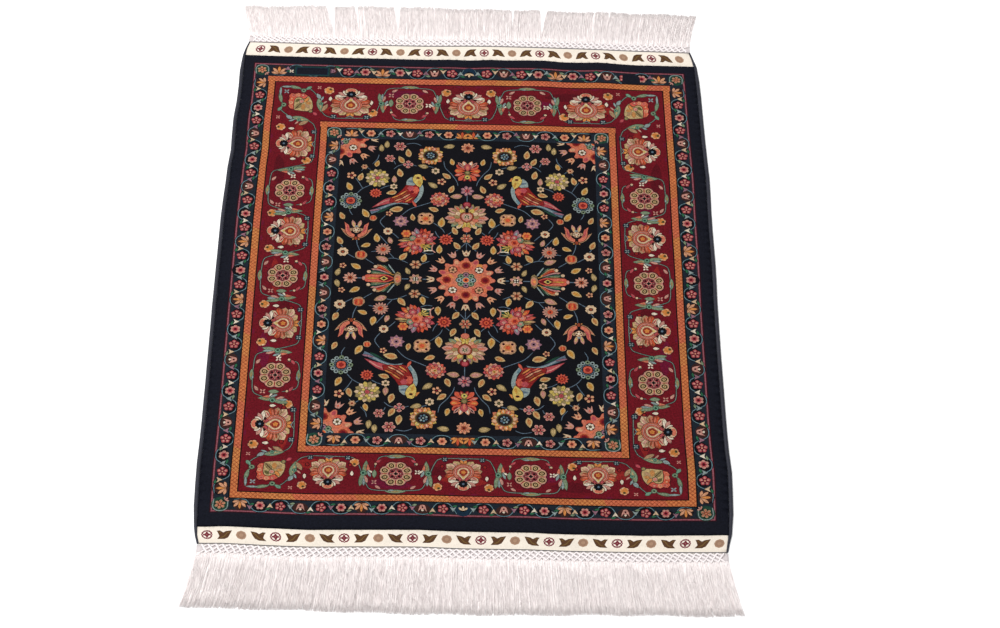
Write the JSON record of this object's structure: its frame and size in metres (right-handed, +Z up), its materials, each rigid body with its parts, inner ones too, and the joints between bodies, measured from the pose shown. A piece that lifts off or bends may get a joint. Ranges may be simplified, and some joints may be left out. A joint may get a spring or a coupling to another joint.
{
  "type": "hereke rug",
  "caption": "Small silk hereke rug laid flat: knotted pile panel with floral borders and field, cream kilim ends, wrapped side cords and knotted white fringes.",
  "frame": {"origin": "on the surface it lies on, under the middle of the whole rug with its fringes", "axes": "+Y along the rug's length towards its far fringe, +X across it to the right, +Z up out of the pile"},
  "size_m": [0.631, 0.9808, 0.0037],
  "materials": {
    "silk_pile": "dense knotted silk pile, soft sheen",
    "kilim_weave": "matt flat weave",
    "selvedge_wrapping": "matt wrapped silk",
    "fringe_silk": "loose silk strands, soft sheen"
  },
  "bodies": {
    "root": {"pile_panel": "silk_pile", "kilim_top": "kilim_weave", "kilim_bottom": "kilim_weave", "selvedge_left": "selvedge_wrapping", "selvedge_right": "selvedge_wrapping", "fringe_top": "fringe_silk", "fringe_bottom": "fringe_silk"}
  },
  "joints": []
}
